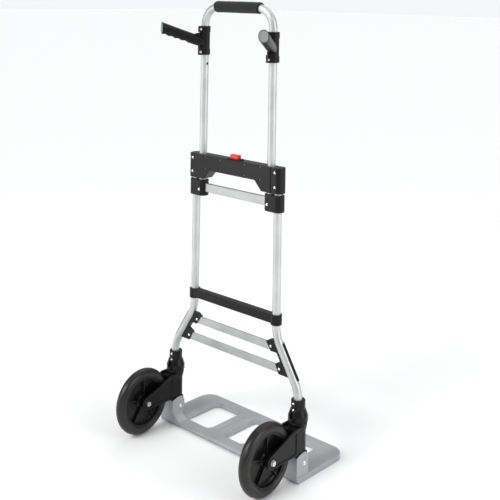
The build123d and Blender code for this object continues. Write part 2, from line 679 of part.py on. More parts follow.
with BuildPart() as right_foot:
    with BuildSketch(Plane.YZ.offset(CORNER_X - FOOT_HALF)):
        with Locations((0, PIVOT_Z)):
            Circle(FOOT_R)
        with Locations((0, (PIVOT_Z + FOOT_TOP) / 2)):
            Rectangle(2 * FOOT_R, FOOT_TOP - PIVOT_Z)
    extrude(amount=2 * FOOT_HALF)
    with BuildSketch(Plane.XY.offset(SIDE_FOOT_Z - FIT)):
        with Locations((CORNER_X, 0)):
            Circle(TUBE_R + FIT)
    extrude(amount=FOOT_TOP - SIDE_FOOT_Z + 1, mode=Mode.SUBTRACT)
    with Locations((CORNER_X, 0, PIVOT_Z)):
        Cylinder(PIVOT_R + RUN, 3 * FOOT_HALF, rotation=(0, 90, 0), mode=Mode.SUBTRACT)
save(right_foot, "right_foot")
save(mirrored(right_foot), "left_foot")


# ---------------------------------------------------------------- toe plate
EAR_FRONT = 15.0
EAR_TOP = 71.0
WALL_TOP = 64.0
CORNER_ROUND = 6.0
UNDERCUT = 5.0  # bevel under the rear edge, for tilting the truck back
FLARE_FOOT_X = 165.0
FLARE_TOP_Z = 34.0
RIDGE = 3.0  # the rear wall stands this far above the flare
OPENING_REAR = 2.0
OPENING_FRONT = 140.0
SIDE_OPENING = (91.0, 192.0)
CENTRE_OPENING = 38.0
LIP = 2.5
GROOVE_X = 62.0

inner_ear_out = CORNER_X - EAR_INNER - SHEET
inner_ear_in = CORNER_X - EAR_INNER
outer_ear_in = CORNER_X + EAR_INNER


def openings():
    """The three windows of the deck, seen from above."""
    depth = OPENING_FRONT - OPENING_REAR
    middle = (OPENING_FRONT + OPENING_REAR) / 2
    width = SIDE_OPENING[1] - SIDE_OPENING[0]
    with BuildSketch() as windows:
        with Locations((0, middle)):
            RectangleRounded(2 * CENTRE_OPENING, depth, 14)
        with Locations(*[(s * sum(SIDE_OPENING) / 2, middle) for s in (-1, 1)]):
            RectangleRounded(width, depth, 18)
    return windows.sketch


def ear(x):
    """One clevis ear: a thin upright plate whose left face is at x."""
    with BuildPart() as plate:
        with BuildSketch(Plane.YZ.offset(x)) as profile:
            with BuildLine():
                Polyline(
                    (PLATE_REAR, 1),
                    (EAR_FRONT, 1),
                    (EAR_FRONT, EAR_TOP - 13),
                    (EAR_FRONT - 10, EAR_TOP),
                    (-8, EAR_TOP),
                    (-21, EAR_TOP - 2.5),
                    (PLATE_REAR, WALL_TOP),
                    close=True,
                )
            make_face()
            fillet(profile.vertices().filter_by(lambda v: v.Y > EAR_TOP - 20), 3)
        extrude(amount=SHEET)
    return plate.part


with BuildPart() as toe_plate:
    with BuildSketch() as plan:
        with Locations((0, (PLATE_FRONT + PLATE_REAR) / 2)):
            Rectangle(2 * PLATE_HALF, PLATE_FRONT - PLATE_REAR)
        fillet(plan.vertices().group_by(Axis.Y)[-1], 38)
        fillet(plan.vertices().group_by(Axis.Y)[0], CORNER_ROUND)
    extrude(amount=DECK_TOP)
    fillet(toe_plate.faces().sort_by(Axis.Z)[-1].edges(), 2.2)
    with BuildSketch():
        offset(plan.sketch, amount=-SHEET)
    extrude(amount=DECK_TOP - SHEET, mode=Mode.SUBTRACT)
    # lips round the windows reach down to the floor
    with BuildSketch():
        offset(openings(), amount=LIP)
    extrude(amount=DECK_TOP)
    with BuildSketch(Plane.XY.offset(-1)):
        add(openings())
    extrude(amount=DECK_TOP + 2, mode=Mode.SUBTRACT)
    # pressed grooves in the two webs
    with BuildSketch(Plane.XY.offset(DECK_TOP - 1)):
        with Locations((-GROOVE_X, 70), (GROOVE_X, 70)):
            SlotOverall(124, 9, rotation=90)
    extrude(amount=2, mode=Mode.SUBTRACT)
    for side in (-1, 1):
        add(ear(inner_ear_out if side > 0 else -inner_ear_in))
        add(ear(outer_ear_in if side > 0 else -EAR_OUT))
        # rear wall of the tower, sweeping down to the deck
        with BuildSketch(front_view(PLATE_REAR + SHEET)):
            with BuildLine():
                sweep_down = ThreePointArc(
                    (side * (FLARE_FOOT_X - 12), DECK_TOP - 1),
                    (side * (FLARE_FOOT_X + 26), DECK_TOP + 5 + RIDGE),
                    (side * inner_ear_out, FLARE_TOP_Z + 2 * RIDGE),
                )
                Polyline(
                    sweep_down @ 1,
                    (side * inner_ear_out, WALL_TOP),
                    (side * EAR_OUT, WALL_TOP),
                    (side * EAR_OUT, 10),
                    (side * (FLARE_FOOT_X - 12), 10),
                    sweep_down @ 0,
                )
            make_face()
        extrude(amount=SHEET)
        # flared root of the inner ear
        with BuildSketch(front_view(OPENING_REAR)):
            with BuildLine():
                upper_side = ThreePointArc(
                    (side * FLARE_FOOT_X, DECK_TOP),
                    (side * (FLARE_FOOT_X + 28.5), DECK_TOP + 6),
                    (side * inner_ear_out, FLARE_TOP_Z),
                )
                lower_side = ThreePointArc(
                    (side * FLARE_FOOT_X, DECK_TOP - SHEET),
                    (side * (FLARE_FOOT_X + 30.5), DECK_TOP + 4),
                    (side * inner_ear_in, FLARE_TOP_Z),
                )
                Line(upper_side @ 1, lower_side @ 1)
                Line(upper_side @ 0, lower_side @ 0)
            make_face()
        extrude(amount=OPENING_REAR - PLATE_REAR)
    # bevel under the rear edge
    with BuildSketch(Plane.YZ.offset(-PLATE_HALF - 1)):
        with BuildLine():
            Polyline(
                (PLATE_REAR - 1, -1),
                (PLATE_REAR + UNDERCUT, -1),
                (PLATE_REAR + UNDERCUT, 0),
                (PLATE_REAR, UNDERCUT),
                (PLATE_REAR - 1, UNDERCUT),
                close=True,
            )
        make_face()
    extrude(amount=2 * PLATE_HALF + 2, mode=Mode.SUBTRACT)
    # pivot holes
    for side in (-1, 1):
        with Locations((side * CORNER_X, 0, PIVOT_Z)):
            Cylinder(PIVOT_R + FIT, 60, rotation=(0, 90, 0), mode=Mode.SUBTRACT)
save(toe_plate, "toe_plate")

with BuildPart() as right_pivot_pin:
    pin_length = 2 * (EAR_INNER + SHEET)
    with Locations(facing_right(EAR_OUT, 0, PIVOT_Z)):
        add(dome_rivet(6.0, 2.2, PIVOT_R, pin_length))
    with Locations(facing_left(inner_ear_out, 0, PIVOT_Z)):
        add(dome_rivet(6.0, 2.2, PIVOT_R, pin_length))
save(right_pivot_pin, "right_pivot_pin")
save(mirrored(right_pivot_pin), "left_pivot_pin")


# ---------------------------------------------------------------- swinging wheel brackets
TYRE_GAP = 4.0
FORK_TOP = 138.5
FORK_EYE_R = 17.0
WEB_TOP = 132.0
RIM_WIDTH = 4.0
RIM_DEPTH = 2.0
PANEL_FRONT = -33.0
FLARE_BOTTOM = 120.0
FLARE_R = 25.5


def fork_outline():
    """One fork plate seen from the side: from the sleeve back and down to the axle."""
    with BuildSketch() as outline:
        with BuildLine():
            Polyline(
                (-10, 78),
                (-10, FORK_TOP),
                (-30, FORK_TOP),
                (HUB_Y - 4.5, HUB_Z + 16.4),
                (HUB_Y, HUB_Z - FORK_EYE_R),
                (-30, HUB_Z - FORK_EYE_R),
                (-24, 78),
                close=True,
            )
        make_face()
        fillet(outline.vertices().filter_by(lambda v: v.Y > FORK_TOP - 1 and v.X < -20), 7)
        with Locations((HUB_Y, HUB_Z)):
            Circle(FORK_EYE_R)
    return outline.sketch


with BuildPart() as right_wheel_bracket:
    # sleeve round the side tube, flared towards its top
    with BuildSketch(Plane.XZ):
        with BuildLine():
            Polyline(
                (CORNER_X, SLEEVE_BOTTOM),
                (CORNER_X + SLEEVE_R - 1, SLEEVE_BOTTOM),
                (CORNER_X + SLEEVE_R, SLEEVE_BOTTOM + 1),
                (CORNER_X + SLEEVE_R, FLARE_BOTTOM),
                (CORNER_X + FLARE_R, SLEEVE_TOP - 6),
                (CORNER_X + FLARE_R, SLEEVE_TOP - 1),
                (CORNER_X + FLARE_R - 1, SLEEVE_TOP),
                (CORNER_X, SLEEVE_TOP),
                close=True,
            )
        make_face()
    revolve(axis=Axis((CORNER_X, 0, 0), (0, 0, 1)))
    # web behind the sleeve, hollowed along the tyre
    with BuildSketch(Plane.YZ.offset(CORNER_X - FORK_OUTER)):
        with Locations((-22, (76 + WEB_TOP) / 2)):
            Rectangle(24, WEB_TOP - 76)
    extrude(amount=2 * FORK_OUTER)
    with BuildSketch(Plane.YZ.offset(CORNER_X - FORK_OUTER - 1)):
        with Locations((HUB_Y, HUB_Z)):
            Circle(WHEEL_R + TYRE_GAP)
    extrude(amount=2 * FORK_OUTER + 2, mode=Mode.SUBTRACT)
    # two fork plates, each with a raised rim round a sunk panel
    for inner_x, panel_x in ((FORK_INNER, FORK_OUTER - RIM_DEPTH), (-FORK_OUTER, -FORK_OUTER)):
        with BuildSketch(Plane.YZ.offset(CORNER_X + inner_x)):
            add(fork_outline())
        extrude(amount=FORK_OUTER - FORK_INNER)
        with BuildSketch(Plane.YZ.offset(CORNER_X + panel_x)) as panel:
            offset(fork_outline(), amount=-RIM_WIDTH)
            with Locations((PANEL_FRONT + 50, HUB_Z)):
                Rectangle(100, 200, mode=Mode.SUBTRACT)
            fillet(panel.vertices().group_by(Axis.X)[-1], 5)
            with Locations((HUB_Y, HUB_Z)):
                Circle(11, mode=Mode.SUBTRACT)
        extrude(amount=RIM_DEPTH, mode=Mode.SUBTRACT)
    # bore of the swivel bush and the axle holes
    with BuildSketch(Plane.XY.offset(SLEEVE_BOTTOM - 1)):
        with Locations((CORNER_X, 0)):
            Circle(SWIVEL_BUSH_R + FIT)
    extrude(amount=SLEEVE_TOP - SLEEVE_BOTTOM + 2, mode=Mode.SUBTRACT)
    with Locations((CORNER_X, HUB_Y, HUB_Z)):
        Cylinder(AXLE_R + FIT, 60, rotation=(0, 90, 0), mode=Mode.SUBTRACT)
save(right_wheel_bracket, "right_wheel_bracket")
save(mirrored(right_wheel_bracket), "left_wheel_bracket")

with BuildPart() as right_swivel_bush:
    with BuildSketch(Plane.XY.offset(SLEEVE_BOTTOM + 0.5)):
        with Locations((CORNER_X, 0)):
            Circle(SWIVEL_BUSH_R)
            Circle(TUBE_R + RUN, mode=Mode.SUBTRACT)
    extrude(amount=SLEEVE_TOP - SLEEVE_BOTTOM - 1)
save(right_swivel_bush, "right_swivel_bush")
save(mirrored(right_swivel_bush), "left_swivel_bush")

HEX_FLATS = 12.0
WASHER_R = 7.2
WASHER = 1.5

with BuildPart() as right_axle_bolt:
    with Locations(facing_right(CORNER_X + FORK_OUTER + WASHER, HUB_Y, HUB_Z)):
        add(hex_prism(HEX_FLATS, 4.6))
    with Locations(facing_right(CORNER_X + FORK_OUTER, HUB_Y, HUB_Z)):
        Cylinder(WASHER_R, WASHER, align=(Align.CENTER, Align.CENTER, Align.MIN))
    with Locations(facing_left(CORNER_X + FORK_OUTER + 1, HUB_Y, HUB_Z)):
        Cylinder(AXLE_R, 2 * FORK_OUTER + 10, align=(Align.CENTER, Align.CENTER, Align.MIN))
save(right_axle_bolt, "right_axle_bolt")
save(mirrored(right_axle_bolt), "left_axle_bolt")

with BuildPart() as right_axle_nut:
    with Locations(facing_left(CORNER_X - FORK_OUTER, HUB_Y, HUB_Z)):
        add(hex_prism(HEX_FLATS, 6.5, AXLE_R + FIT))
save(right_axle_nut, "right_axle_nut")
save(mirrored(right_axle_nut), "left_axle_nut")


# ---------------------------------------------------------------- wheels
HUB_R = 15.0
WHEEL_BUSH_R = 7.0
RING_INNER_R = 60.5
RING_HALF = 12.5
WEB_HALF = 2.0
RIB_COUNT = 5
RIB_WIDTH = 3.2
RIB_HALF_DEPTH = 9.0

wheel_plane = Plane(origin=(CORNER_X, HUB_Y, HUB_Z), x_dir=(1, 0, 0), z_dir=(0, 0, 1))
axle_axis = Axis((CORNER_X, HUB_Y, HUB_Z), (1, 0, 0))

with BuildPart() as right_wheel_rim:
    # hub, web and ring in one profile, turned round the axle
    with BuildSketch(wheel_plane):
        with BuildLine():
            Polyline(
                (0, 1),
                (HUB_HALF, 1),
                (HUB_HALF, HUB_R - 3),
                (HUB_HALF - 1.5, HUB_R - 1),
                (WEB_HALF + 3, HUB_R),
                (WEB_HALF, HUB_R + 3),
                (WEB_HALF, RING_INNER_R - 4),
                (WEB_HALF + 4, RING_INNER_R),
                (RING_HALF - 1, RING_INNER_R),
                (RING_HALF, RING_INNER_R + 1),
                (RING_HALF, TYRE_SEAT_R),
                (0, TYRE_SEAT_R),
                close=True,
            )
        make_face()
        mirror(about=Plane.YZ)
    revolve(axis=axle_axis)
    # ribs on both faces of the web, the first one straight up
    with BuildSketch(Plane.YZ.offset(CORNER_X)):
        with Locations((HUB_Y, HUB_Z)):
            with PolarLocations((HUB_R + RING_INNER_R) / 2, RIB_COUNT, start_angle=90):
                Rectangle(RING_INNER_R - HUB_R + 3, RIB_WIDTH)
    extrude(amount=RIB_HALF_DEPTH, both=True)
    with Locations((CORNER_X, HUB_Y, HUB_Z)):
        Cylinder(WHEEL_BUSH_R + FIT, 60, rotation=(0, 90, 0), mode=Mode.SUBTRACT)
save(right_wheel_rim, "right_wheel_rim")
save(mirrored(right_wheel_rim), "left_wheel_rim")

with BuildPart() as right_tyre:
    with BuildSketch(wheel_plane):
        crown_r = WHEEL_R - TYRE_HALF
        with BuildLine():
            Line((-TYRE_HALF, crown_r), (-TYRE_HALF, TYRE_SEAT_R + 4))
            Line((-TYRE_HALF, TYRE_SEAT_R + 4), (-RING_HALF - 0.5, TYRE_SEAT_R + FIT))
            Line((-RING_HALF - 0.5, TYRE_SEAT_R + FIT), (RING_HALF + 0.5, TYRE_SEAT_R + FIT))
            Line((RING_HALF + 0.5, TYRE_SEAT_R + FIT), (TYRE_HALF, TYRE_SEAT_R + 4))
            Line((TYRE_HALF, TYRE_SEAT_R + 4), (TYRE_HALF, crown_r))
            ThreePointArc((TYRE_HALF, crown_r), (0, WHEEL_R), (-TYRE_HALF, crown_r))
        make_face()
    revolve(axis=axle_axis)
save(right_tyre, "right_tyre")
save(mirrored(right_tyre), "left_tyre")

with BuildPart() as right_wheel_bushes:
    with BuildSketch(wheel_plane):
        with BuildLine():
            Polyline(
                (2, AXLE_R + RUN),
                (HUB_HALF + 0.2, AXLE_R + RUN),
                (HUB_HALF + 0.2, WHEEL_BUSH_R),
                (2, WHEEL_BUSH_R),
                close=True,
            )
        make_face()
        mirror(about=Plane.YZ)
    revolve(axis=axle_axis)
save(right_wheel_bushes, "right_wheel_bushes")
save(mirrored(right_wheel_bushes), "left_wheel_bushes")


# ---------------------------------------------------------------- swivelling side grips
EAR_HEIGHT = 17.0
EAR_CENTRES = (CLAMP_BOTTOM + EAR_HEIGHT / 2, CLAMP_TOP - EAR_HEIGHT / 2)
EAR_REAR = -25.0
EAR_FRONT_LUG = 15.5
EAR_HALF = 3.6
EAR_BOLT_Y = -21.2
EAR_BOLT_R = 2.0
EAR_WEB_TOP = GRIP_ROOT_Z - 12.0  # the web above the lower ear ends under the grip
BAND = 17.0  # height of the thicker band at each end of the clamp
GRIP_ROD = 150.0  # the rod is drawn past the grip's end face, then cut
GRIP_GUSSET = 34.0  # how far the gusset reaches along the grip
GRIP_GUSSET_TOP = 14.0  # and at its top edge
CAP_INSET = 1.6
CAP_DEPTH = 2.5
SCALLOPS = 4
SCALLOP_START = 59.0
SCALLOP_PITCH = 19.7
SCALLOP_R = 17.5
SCALLOP_DEPTH = 2.8
GROOVE_LENGTH = 96.0
GROOVE_WIDTH = 2.4

grip_out = Vector(sin(GRIP_ANGLE), -cos(GRIP_ANGLE), 0)
grip_side = Vector(-cos(GRIP_ANGLE), -sin(GRIP_ANGLE), 0)
grip_dir = grip_out * cos(GRIP_RISE) + Vector(0, 0, sin(GRIP_RISE))


def grip_point(along, down=0.0):
    """A point on the right grip's axis, or below it square to the axis."""
    drop = grip_out * sin(GRIP_RISE) - Vector(0, 0, cos(GRIP_RISE))
    return Vector(HANDLE_X, 0, GRIP_ROOT_Z) + grip_dir * along + drop * down


def grip_section(along):
    """A sketch plane across the right grip, with its local X level."""
    return Plane(origin=grip_point(along), x_dir=grip_side, z_dir=grip_dir)


def grip_end_plane(beyond):
    """An upright plane at the grip's free end, or a little beyond it."""
    return Plane(origin=Vector(HANDLE_X, 0, 0) + grip_out * (GRIP_REACH + beyond), z_dir=grip_out)


def grip_rod(inset):
    """The grip's tapered body, or a slimmer one of the same shape."""
    with BuildPart() as rod:
        with BuildSketch(grip_section(0)):
            RectangleRounded(26 - 2 * inset, 28 - 2 * inset, 11 - inset)
        with BuildSketch(grip_section(GRIP_ROD)):
            RectangleRounded(28 - 2 * inset, 33 - 2 * inset, 13.5 - inset)
        loft()
    return rod.part


def tube_clamp(radius):
    """A sleeve round the right telescoping tube, with bolted ears behind and lugs in front."""
    with BuildPart() as sleeve:
        with BuildSketch(Plane.XZ):
            with BuildLine():
                Polyline(
                    (HANDLE_X, CLAMP_BOTTOM),
                    (HANDLE_X + radius - 1, CLAMP_BOTTOM),
                    (HANDLE_X + radius, CLAMP_BOTTOM + 1),
                    (HANDLE_X + radius, CLAMP_BOTTOM + BAND),
                    (HANDLE_X + radius - 1.2, CLAMP_BOTTOM + BAND + 1),
                    (HANDLE_X + radius - 1.2, CLAMP_TOP - BAND - 1),
                    (HANDLE_X + radius, CLAMP_TOP - BAND),
                    (HANDLE_X + radius, CLAMP_TOP - 1),
                    (HANDLE_X + radius - 1, CLAMP_TOP),
                    (HANDLE_X, CLAMP_TOP),
                    close=True,
                )
            make_face()
        revolve(axis=Axis((HANDLE_X, 0, 0), (0, 0, 1)))
        with BuildSketch(Plane.YZ.offset(HANDLE_X - EAR_HALF)):
            with Locations(*[((EAR_FRONT_LUG + EAR_REAR) / 2, z) for z in EAR_CENTRES]):
                RectangleRounded(EAR_FRONT_LUG - EAR_REAR, EAR_HEIGHT, 2.5)
            # web behind the tube, from the lower ear up to the grip
            with Locations((EAR_REAR / 2, (EAR_CENTRES[0] + EAR_WEB_TOP) / 2)):
                Rectangle(-EAR_REAR, EAR_WEB_TOP - EAR_CENTRES[0])
        extrude(amount=2 * EAR_HALF)
        with Locations(*[(HANDLE_X, EAR_BOLT_Y, z) for z in EAR_CENTRES]):
            Cylinder(EAR_BOLT_R + FIT, 20, rotation=(0, 90, 0), mode=Mode.SUBTRACT)
        with Locations((HANDLE_X, 0, (CLAMP_BOTTOM + CLAMP_TOP) / 2)):
            Cylinder(TUBE_R + RUN, 120, mode=Mode.SUBTRACT)
    return sleeve.part


with BuildPart() as right_grip_clamp:
    add(tube_clamp(INNER_CLAMP_R))
    split(bisect_by=Plane.YZ.offset(HANDLE_X - FIT), keep=Keep.BOTTOM)
save(right_grip_clamp, "right_grip_clamp")
save(raised_twin(right_grip_clamp), "left_grip_clamp")

with BuildPart() as outer_clamp:
    add(tube_clamp(OUTER_CLAMP_R))
    split(bisect_by=Plane.YZ.offset(HANDLE_X), keep=Keep.TOP)

with BuildPart() as cap_pocket:
    add(grip_rod(CAP_INSET - FIT))
    split(bisect_by=grip_end_plane(-CAP_DEPTH - FIT), keep=Keep.TOP)

with BuildPart() as right_grip_handle:
    add(grip_rod(0))
    # upright gusset from the clamp's upper band down to the grip
    with BuildSketch(
        Plane(origin=(HANDLE_X, 0, 0), x_dir=grip_out, z_dir=grip_out.cross(Vector(0, 0, 1)))
    ):
        Polygon(
            (0, GRIP_ROOT_Z),
            (GRIP_GUSSET, GRIP_ROOT_Z + 17),
            (GRIP_GUSSET, GRIP_ROOT_Z + 26),
            (GRIP_GUSSET_TOP, CLAMP_TOP - EAR_HEIGHT - 1),
            (0, CLAMP_TOP - EAR_HEIGHT - 1),
            align=None,
        )
    extrude(amount=EAR_HALF - 0.6, both=True)
    # the web runs on into the grip
    with BuildSketch(Plane.YZ.offset(HANDLE_X)):
        with Locations((EAR_REAR / 2, (EAR_CENTRES[0] + GRIP_ROOT_Z) / 2)):
            Rectangle(-EAR_REAR, GRIP_ROOT_Z - EAR_CENTRES[0])
    extrude(amount=EAR_HALF)
    with Locations((HANDLE_X, EAR_BOLT_Y, EAR_CENTRES[0])):
        Cylinder(EAR_BOLT_R + FIT, 20, rotation=(0, 90, 0), mode=Mode.SUBTRACT)
    split(bisect_by=grip_end_plane(0), keep=Keep.BOTTOM)
    # finger scallops along the underside, and a groove along each side
    for i in range(SCALLOPS):
        underside = 14.9 + 0.33 * i
        centre = grip_point(
            SCALLOP_START + i * SCALLOP_PITCH, underside + SCALLOP_R - SCALLOP_DEPTH
        )
        with BuildSketch(Plane(origin=centre - grip_side * 20, x_dir=grip_dir, z_dir=grip_side)):
            Circle(SCALLOP_R)
        extrude(amount=40, mode=Mode.SUBTRACT)
    for side in (-1, 1):
        groove_start = grip_point(70, -7) + grip_side * side * 11.6
        with BuildSketch(Plane(origin=groove_start, x_dir=grip_dir, z_dir=grip_side * side)):
            SlotOverall(GROOVE_LENGTH, GROOVE_WIDTH)
        extrude(amount=5, mode=Mode.SUBTRACT)
    add(cap_pocket.part, mode=Mode.SUBTRACT)
    # the inner clamp half takes the space inboard of the tube's axis
    with BuildSketch(Plane.XY.offset(CLAMP_BOTTOM)):
        with Locations((HANDLE_X, 0)):
            Circle(INNER_CLAMP_R + 0.3)
            with Locations((INNER_CLAMP_R, 0)):
                Rectangle(2 * INNER_CLAMP_R, 3 * INNER_CLAMP_R, mode=Mode.SUBTRACT)
    extrude(amount=CLAMP_TOP - CLAMP_BOTTOM, mode=Mode.SUBTRACT)
    add(outer_clamp.part)
    with Locations((HANDLE_X, 0, (CLAMP_BOTTOM + CLAMP_TOP) / 2)):
        Cylinder(TUBE_R + RUN, 120, mode=Mode.SUBTRACT)
save(right_grip_handle, "right_grip_handle")
save(raised_twin(right_grip_handle), "left_grip_handle")

with BuildPart() as right_grip_cap:
    add(grip_rod(CAP_INSET))
    split(bisect_by=grip_end_plane(-CAP_DEPTH), keep=Keep.TOP)
    split(bisect_by=grip_end_plane(0.3), keep=Keep.BOTTOM)
save(right_grip_cap, "right_grip_cap")
save(raised_twin(right_grip_cap), "left_grip_cap")

with BuildPart() as right_grip_fasteners:
    with Locations(*[facing_right(HANDLE_X + EAR_HALF, EAR_BOLT_Y, z) for z in EAR_CENTRES]):
        add(dome_rivet(3.5, 2.0, EAR_BOLT_R, 2 * EAR_HALF + 3.0))
    with Locations(*[facing_left(HANDLE_X - EAR_HALF, EAR_BOLT_Y, z) for z in EAR_CENTRES]):
        add(hex_prism(7.0, 1.6, EAR_BOLT_R + FIT))
save(right_grip_fasteners, "right_grip_fasteners")
save(raised_twin(right_grip_fasteners), "left_grip_fasteners")
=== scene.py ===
"""Looks of a folding hand truck: materials, foam grip, return spring, studio light and camera.

The scene is in metres, in the part's own frame: +X is the operator's right, +Y runs forward over the
toe plate and +Z is up from the floor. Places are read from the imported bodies' boxes.
"""

import json
import math

import bmesh
import bpy
from mathutils import Matrix, Vector, noise


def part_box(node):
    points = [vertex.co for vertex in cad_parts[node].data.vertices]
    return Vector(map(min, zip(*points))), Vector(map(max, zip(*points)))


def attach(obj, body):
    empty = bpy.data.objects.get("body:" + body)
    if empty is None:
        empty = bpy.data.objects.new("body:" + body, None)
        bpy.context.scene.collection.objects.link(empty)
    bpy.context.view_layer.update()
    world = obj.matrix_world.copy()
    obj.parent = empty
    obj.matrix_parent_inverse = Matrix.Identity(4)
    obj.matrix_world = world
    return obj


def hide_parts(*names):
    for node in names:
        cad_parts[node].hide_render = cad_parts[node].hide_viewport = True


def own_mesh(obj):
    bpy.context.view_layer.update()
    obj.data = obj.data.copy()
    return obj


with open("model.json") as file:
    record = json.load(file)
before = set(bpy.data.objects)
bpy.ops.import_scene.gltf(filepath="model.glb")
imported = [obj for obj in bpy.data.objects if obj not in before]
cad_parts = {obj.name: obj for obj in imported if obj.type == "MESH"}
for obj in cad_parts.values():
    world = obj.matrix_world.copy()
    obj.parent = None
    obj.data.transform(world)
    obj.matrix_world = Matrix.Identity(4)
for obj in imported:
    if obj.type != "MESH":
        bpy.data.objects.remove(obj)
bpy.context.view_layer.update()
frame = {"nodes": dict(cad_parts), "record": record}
scene = bpy.context.scene
MM = 0.001


# ---------------------------------------------------------------- node materials
class Look:
    """A Principled material put together from procedural fields in the row frame."""

    def __init__(self, name):
        self.mat = bpy.data.materials.new(name)
        self.mat.use_nodes = True
        self.tree = self.mat.node_tree
        self.tree.nodes.clear()
        out = self.node("ShaderNodeOutputMaterial")
        self.bsdf = self.node("ShaderNodeBsdfPrincipled")
        self.tree.links.new(self.bsdf.outputs[0], out.inputs[0])
        self.coords = self.node("ShaderNodeTexCoord").outputs["Object"]

    def node(self, kind, **settings):
        made = self.tree.nodes.new(kind)
        for key, value in settings.items():
            setattr(made, key, value)
        return made

    def put(self, socket, value):
        """Links a socket to a field, or sets it to a number or colour."""
        if isinstance(value, bpy.types.NodeSocket):
            self.tree.links.new(value, socket)
        elif isinstance(value, tuple) and len(value) == 3 and socket.type == "RGBA":
            socket.default_value = (*value, 1.0)
        else:
            socket.default_value = value

    def set(self, **values):
        for key, value in values.items():
            self.put(self.bsdf.inputs[key.replace("_", " ")], value)

    def stretched(self, stretch):
        scaled = self.node("ShaderNodeVectorMath", operation="MULTIPLY")
        self.put(scaled.inputs[0], self.coords)
        scaled.inputs[1].default_value = stretch
        return scaled.outputs[0]

    def noise(self, per_metre, detail=3.0, stretch=(1, 1, 1)):
        """Soft noise of the given fineness, drawn out along an axis if its stretch is small."""
        made = self.node("ShaderNodeTexNoise")
        self.put(made.inputs["Vector"], self.stretched(stretch))
        made.inputs["Scale"].default_value = per_metre
        made.inputs["Detail"].default_value = detail
        made.inputs["Roughness"].default_value = 0.55
        return made.outputs[0]

    def cells(self, per_metre):
        """Distance from the nearest of many scattered points: foam cells."""
        made = self.node("ShaderNodeTexVoronoi", feature="F1")
        self.put(made.inputs["Vector"], self.coords)
        made.inputs["Scale"].default_value = per_metre
        return made.outputs["Distance"]

    def remap(self, value, low, high, to_low=0.0, to_high=1.0):
        """Stretches low..high to to_low..to_high and clamps it there."""
        made = self.node("ShaderNodeMapRange")
        self.put(made.inputs["Value"], value)
        made.inputs["From Min"].default_value = low
        made.inputs["From Max"].default_value = high
        made.inputs["To Min"].default_value = to_low
        made.inputs["To Max"].default_value = to_high
        return made.outputs[0]

    def math(self, operation, a, b):
        made = self.node("ShaderNodeMath", operation=operation, use_clamp=True)
        self.put(made.inputs[0], a)
        self.put(made.inputs[1], b)
        return made.outputs[0]

    def mix(self, share, a, b):
        """Colour a, going over to colour b as the share rises to 1."""
        made = self.node("ShaderNodeMix", data_type="RGBA")
        self.put(made.inputs[0], share)
        self.put(made.inputs[6], a)
        self.put(made.inputs[7], b)
        return made.outputs[2]

    def bevel(self, radius_mm):
        """Normals that round off every sharp edge."""
        made = self.node("ShaderNodeBevel", samples=4)
        made.inputs["Radius"].default_value = radius_mm * MM
        return made.outputs[0]

    def edges(self, radius_mm):
        """1 on sharp edges, 0 on flats."""
        dot = self.node("ShaderNodeVectorMath", operation="DOT_PRODUCT")
        self.put(dot.inputs[0], self.bevel(radius_mm))
        self.put(dot.inputs[1], self.node("ShaderNodeNewGeometry").outputs["Normal"])
        return self.remap(dot.outputs["Value"], 0.98, 0.80)

    def hollows(self, distance_mm):
        """Ambient occlusion: 1 deep in corners where shade falls, 0 in the open."""
        made = self.node("ShaderNodeAmbientOcclusion", samples=4)
        made.inputs["Distance"].default_value = distance_mm * MM
        return self.remap(made.outputs["AO"], 0.75, 0.25)

    def bump(self, height, depth_mm, strength, under=None):
        made = self.node("ShaderNodeBump")
        made.inputs["Strength"].default_value = strength
        made.inputs["Distance"].default_value = depth_mm * MM
        self.put(made.inputs["Height"], height)
        if under is not None:
            self.put(made.inputs["Normal"], under)
        return made.outputs[0]


def drawn_aluminium(name, base, shade, stretch, roughness):
    """Satin anodised metal: fine drawing lines, handling smudges and paler rubbed edges."""
    look = Look(name)
    lines = look.noise(900, 4, stretch)
    smudge = look.noise(14, 3)
    tone = look.mix(look.remap(smudge, 0.35, 0.65), shade, base)
    tone = look.mix(look.remap(lines, 0.3, 0.7, 0.0, 0.25), tone, shade)
    pale_edge = look.math("MULTIPLY", look.edges(0.6), look.remap(look.noise(160, 2), 0.4, 0.6))
    uneven = look.math("ADD", lines, look.math("MULTIPLY", smudge, 0.6))
    look.set(
        Base_Color=look.mix(pale_edge, tone, (0.85, 0.86, 0.86)),
        Metallic=0.9,
        Roughness=look.remap(uneven, 0.5, 1.1, roughness - 0.05, roughness + 0.09),
        Normal=look.bump(lines, 0.02, 0.5, look.bevel(0.5)),
    )
    return look.mat


def moulded_plastic(name, base, pale_edge, roughness, grain_mm=0.06, haze=(0.05, 0.046, 0.042)):
    """Spark-textured moulding: fine grain, soft flow marks, paler edges that are partly wear and
    partly painted highlight, and a tone in its corners: a paler dusting on black mouldings, painted
    shade on paler ones.
    """
    look = Look(name)
    grain = look.noise(1400, 2)
    flow = look.noise(9, 4, (1.0, 1.0, 0.45))
    tone = look.mix(look.remap(flow, 0.35, 0.7), base, tuple(c * 1.5 + 0.001 for c in base))
    # painted highlight: sharp edges turn paler, partly as wear and partly standing in for the light
    # that rounded edges catch
    lighter_edge_share = look.math("MULTIPLY", look.edges(1.2), look.remap(look.noise(70, 3), 0.3, 0.65))
    tone = look.mix(look.math("MULTIPLY", lighter_edge_share, 0.7), tone, pale_edge)
    # painted shade: an ambient-occlusion mask lays a fixed tone into the hollows in patches; it is a
    # paler dusting on black mouldings and painted shade on paler ones
    patches = look.remap(look.noise(55, 3), 0.4, 0.7, 0.0, 0.3)
    dust_and_shade = look.math("MULTIPLY", look.hollows(9), patches)
    look.set(
        Base_Color=look.mix(dust_and_shade, tone, haze),
        Roughness=look.remap(flow, 0.3, 0.7, roughness - 0.05, roughness + 0.08),
        Specular_IOR_Level=0.24,
        Normal=look.bump(grain, grain_mm, 0.6, look.bevel(1.1)),
    )
    return look.mat


